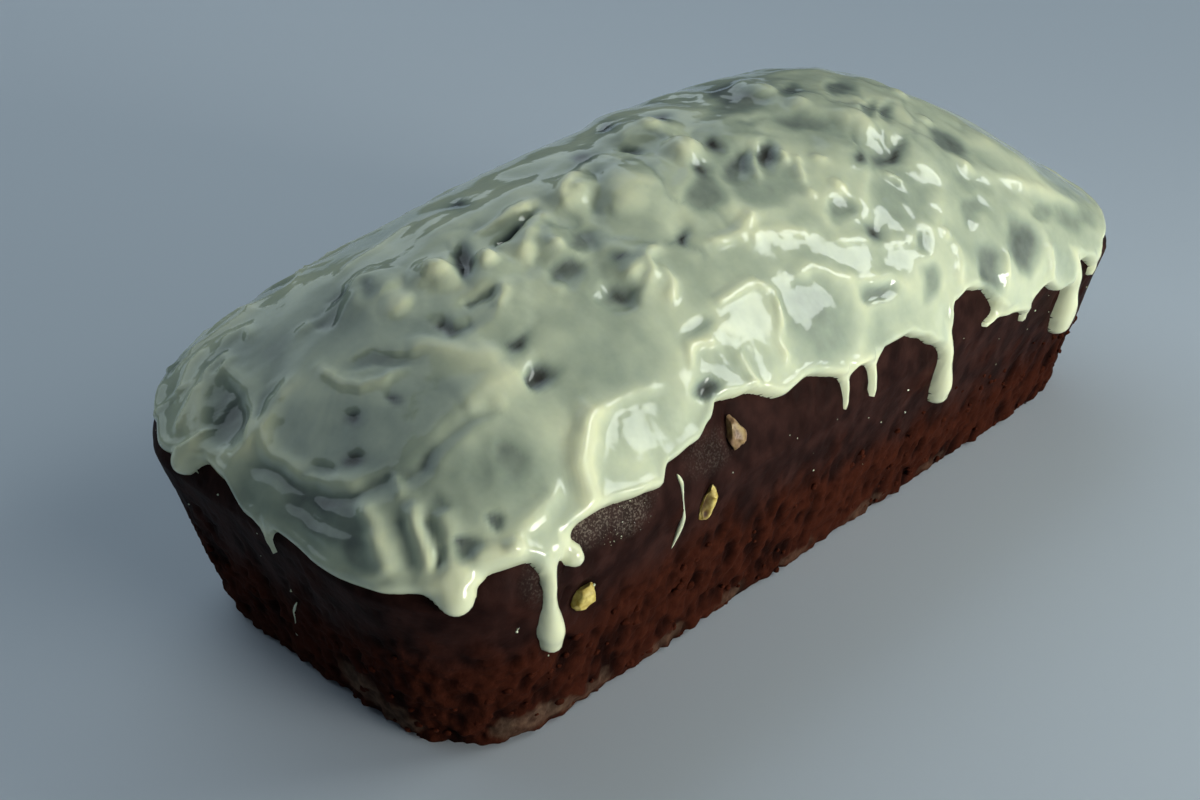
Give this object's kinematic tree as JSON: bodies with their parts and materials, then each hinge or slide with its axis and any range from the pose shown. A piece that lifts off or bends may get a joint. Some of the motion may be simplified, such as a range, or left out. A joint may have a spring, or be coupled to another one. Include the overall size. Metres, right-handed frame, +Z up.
{
  "type": "iced loaf cake",
  "caption": "Dark loaf cake with a domed, cracked crown under a thick poured coat of pale cream icing that runs down its sides in uneven drips",
  "frame": {"origin": "on the floor under the middle of the iced loaf's box", "axes": "+X along the loaf's length, +Y across it towards the side the picture hides, +Z up"},
  "size_m": [0.2507, 0.1122, 0.0954],
  "materials": {
    "cake": "matt, rough dark crumb with a smoother browned band under the icing",
    "icing": "glossy, slightly see-through where thin"
  },
  "bodies": {
    "root": {"loaf": "cake", "icing": "icing"}
  },
  "joints": []
}
